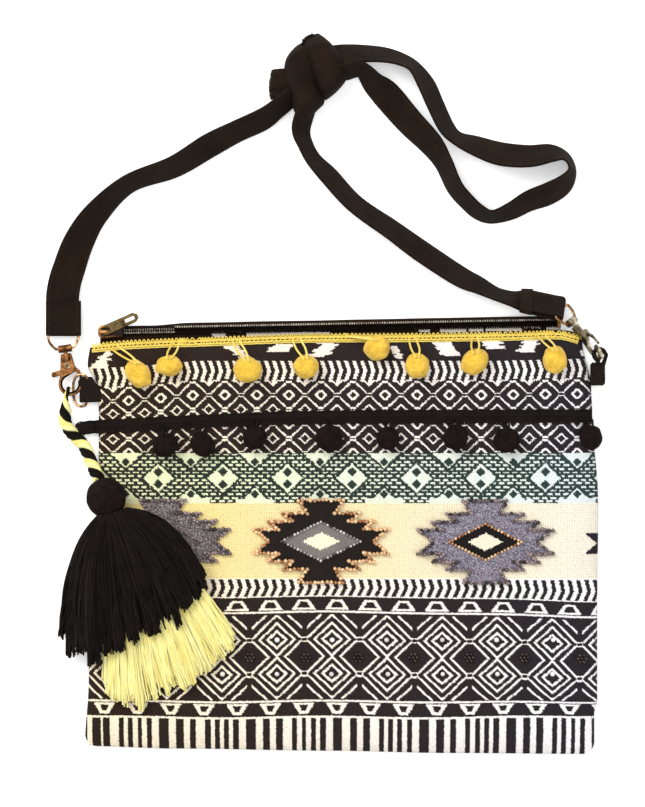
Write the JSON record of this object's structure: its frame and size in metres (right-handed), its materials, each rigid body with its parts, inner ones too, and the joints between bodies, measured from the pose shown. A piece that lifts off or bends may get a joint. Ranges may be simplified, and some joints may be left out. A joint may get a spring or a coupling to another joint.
{
  "type": "flat zip-top crossbody pouch with tassel (listed as a wayuu mochila bag)",
  "caption": "Flat rectangular zip pouch in jacquard cotton with pompom braids, beaded patches, tassel and a clip-on fabric strap.",
  "frame": {"origin": "middle of the back panel's flat underside", "axes": "+X along the zip to the right, +Y from the bottom edge to the zip, +Z out of the front face"},
  "size_m": [0.3375, 0.4332, 0.0345],
  "materials": {
    "jacquard_cotton": "patterned jacquard weave, dull",
    "back_cotton": "plain dark weave, dull",
    "lining_cloth": "plain fine weave",
    "zip_tape": "woven tape",
    "nylon_coil": "satin nylon",
    "antique_bronze": "dark antique bronze",
    "pull_bronze": "dull olive bronze",
    "antique_brass": "copper-brown antique plating with dark recesses",
    "yellow_yarn": "soft wool yarn",
    "black_yarn": "soft wool yarn",
    "beaded_patch": "brushed cloth edged with small metal beads",
    "strap_canvas": "ribbed cotton canvas",
    "twisted_cord": "black and pale yellow twisted cotton"
  },
  "bodies": {
    "root": {"front_panel": "jacquard_cotton", "back_panel": "back_cotton", "front_lining": "lining_cloth", "back_lining": "lining_cloth", "front_zip_tape": "zip_tape", "back_zip_tape": "zip_tape", "front_coil": "nylon_coil", "back_coil": "nylon_coil", "zip_end_stop": "antique_bronze", "left_hook_body": "antique_brass", "left_hook_pin": "antique_brass", "left_d_ring": "antique_brass", "right_hook_body": "antique_brass", "right_hook_pin": "antique_brass", "yellow_braid": "yellow_yarn", "yellow_pompom_1": "yellow_yarn", "yellow_pompom_2": "yellow_yarn", "yellow_pompom_3": "yellow_yarn", "yellow_pompom_4": "yellow_yarn", "yellow_pompom_5": "yellow_yarn", "yellow_pompom_6": "yellow_yarn", "yellow_pompom_7": "yellow_yarn", "yellow_pompom_8": "yellow_yarn", "black_braid": "black_yarn", "black_pompom_1": "black_yarn", "black_pompom_2": "black_yarn", "black_pompom_3": "black_yarn", "black_pompom_4": "black_yarn", "black_pompom_5": "black_yarn", "black_pompom_6": "black_yarn", "black_pompom_7": "black_yarn", "black_pompom_8": "black_yarn", "left_medallion": "beaded_patch", "middle_medallion": "beaded_patch", "right_medallion": "beaded_patch", "left_tab": "strap_canvas", "right_tab": "strap_canvas", "strap_left_run": "strap_canvas", "strap_knot": "strap_canvas", "strap_loop": "strap_canvas", "strap_right_run": "strap_canvas"},
    "zip_slider": {"zip_slider": "antique_bronze"},
    "zip_pull": {"pull_tab": "pull_bronze"},
    "left_gate": {"left_hook_gate": "antique_brass"},
    "right_gate": {"right_hook_gate": "antique_brass"},
    "left_swivel": {"left_swivel_head": "antique_brass"},
    "left_ring": {"left_ring": "antique_brass", "left_strap_end": "strap_canvas"},
    "right_swivel": {"right_swivel_head": "antique_brass"},
    "right_ring": {"right_ring": "antique_brass", "right_strap_end": "strap_canvas"},
    "tassel": {"tassel_cord": "twisted_cord", "tassel_ball": "black_yarn", "black_skirt": "black_yarn", "yellow_skirt": "yellow_yarn"}
  },
  "joints": [
    {"name": "zip_slide", "type": "slide", "parent": "root", "child": "zip_slider", "axis": [0.9998, 0.0194, 0], "range_m": [0, 0.225]},
    {"name": "zip_pull_hinge", "type": "hinge", "parent": "zip_slider", "child": "zip_pull", "pos_m": [-0.1446, 0.12829, 0.0083], "axis": [0.4067, -0.9135, 0], "range_deg": [0, 160]},
    {"name": "left_gate_hinge", "type": "hinge", "parent": "root", "child": "left_gate", "pos_m": [-0.16548, 0.10801, 0.0046], "axis": [0, 0, -1], "range_deg": [0, 17], "stiffness_Nm_per_rad": 0.01},
    {"name": "right_gate_hinge", "type": "hinge", "parent": "root", "child": "right_gate", "pos_m": [0.14327, 0.12611, 0.01115], "axis": [0.7609, 0.5952, -0.2583], "range_deg": [0, 8], "stiffness_Nm_per_rad": 0.01},
    {"name": "left_swivel_turn", "type": "hinge", "parent": "root", "child": "left_swivel", "pos_m": [-0.167, 0.1182, 0.0046], "axis": [-0.1478, 0.989, 0], "range_deg": [-25, 25]},
    {"name": "left_ring_hinge", "type": "hinge", "parent": "left_swivel", "child": "left_ring", "pos_m": [-0.167, 0.1182, 0.0046], "axis": [0.989, 0.1478, 0], "range_deg": [0, 70]},
    {"name": "right_swivel_turn", "type": "hinge", "parent": "root", "child": "right_swivel", "pos_m": [0.1368, 0.1341, 0.0105], "axis": [-0.6281, 0.7756, -0.0628], "range_deg": [-12, 12]},
    {"name": "right_ring_hinge", "type": "hinge", "parent": "right_swivel", "child": "right_ring", "pos_m": [0.1368, 0.1341, 0.0105], "axis": [0.5096, 0.349, -0.7865], "range_deg": [0, 30]},
    {"name": "tassel_swing", "type": "hinge", "parent": "root", "child": "tassel", "pos_m": [-0.16573, 0.09125, 0.0046], "axis": [-0.9483, 0.3173, 0], "range_deg": [0, 60]}
  ]
}
